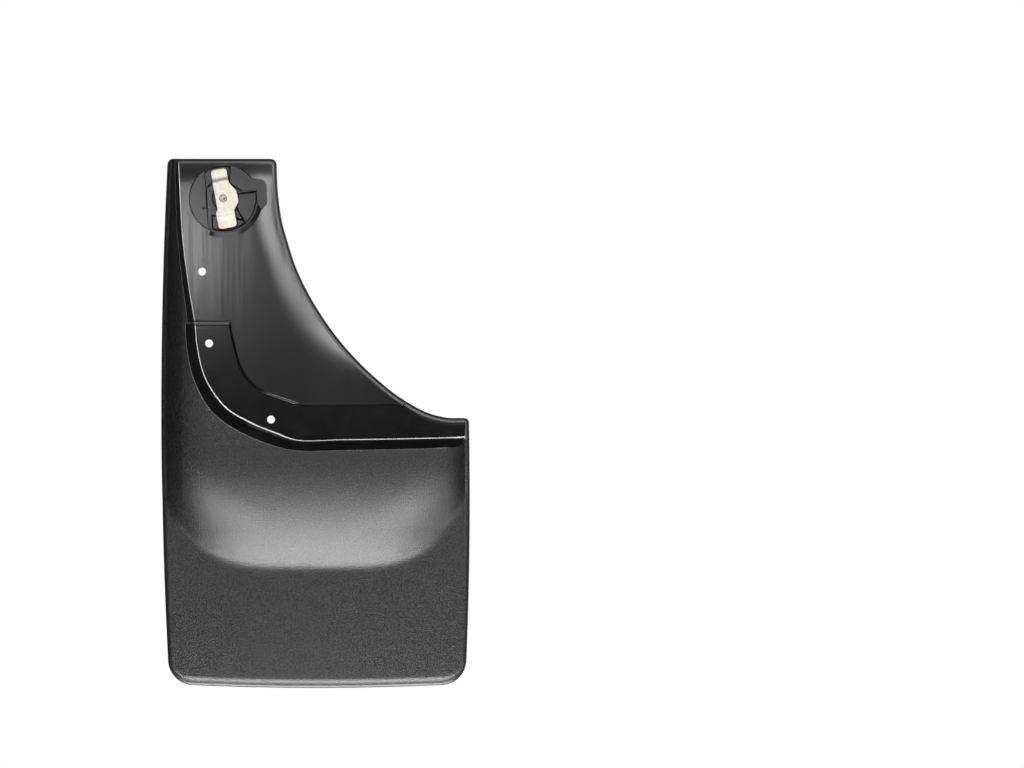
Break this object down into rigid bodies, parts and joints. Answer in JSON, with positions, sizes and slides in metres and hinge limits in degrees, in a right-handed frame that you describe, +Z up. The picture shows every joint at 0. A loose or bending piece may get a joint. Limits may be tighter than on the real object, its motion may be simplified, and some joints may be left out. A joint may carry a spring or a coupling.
{
  "type": "mud flap",
  "caption": "Moulded wheel-arch mud flap with a sunk fixing channel, a bulged grained skin and a turning plate clamp that grips the fender lip.",
  "frame": {"origin": "on the clamp's pivot axis, level with the sunk front face that the fender lip is clamped against", "axes": "+Z up the flap, +X across it towards the wheel-arch edge and the tip, -Y out of the clamp side, +Y towards the screw's head"},
  "size_m": [0.2781, 0.036, 0.477],
  "materials": {
    "flap_plastic": "black polypropylene, fine grain on the skin and gloss on the sunk face",
    "clamp_plastic": "black moulded nylon, satin",
    "hub_plastic": "dark glass-filled nylon, satin",
    "plated_steel": "warm satin plating on stamped steel",
    "zinc_steel": "satin zinc plate",
    "spring_steel": "bright drawn wire"
  },
  "bodies": {
    "root": {"flap_panel": "flap_plastic", "clamp_housing": "clamp_plastic", "screw_washer": "zinc_steel"},
    "hub": {"turn_hub": "hub_plastic", "return_spring": "spring_steel"},
    "jaw": {"clamp_plate": "plated_steel", "plate_nut": "zinc_steel"},
    "screw": {"clamp_screw": "zinc_steel", "retaining_clip": "spring_steel"}
  },
  "joints": [
    {"name": "plate_swing", "type": "hinge", "parent": "root", "child": "hub", "pos_m": [0, 0, 0], "axis": [0, -1, 0], "range_deg": [0, 77]},
    {"name": "plate_draw", "type": "slide", "parent": "hub", "child": "jaw", "axis": [0, 1, 0], "range_m": [0, 0.005], "deforming": ["return_spring"]},
    {"name": "screw_turn", "type": "hinge", "parent": "root", "child": "screw", "pos_m": [0, 0, 0], "axis": [0, -1, 0], "range_deg": [0, 1800]}
  ],
  "couplings": [
    {"joint": "screw_turn", "follows": "plate_draw", "rad_per_m": 6283.2}
  ]
}
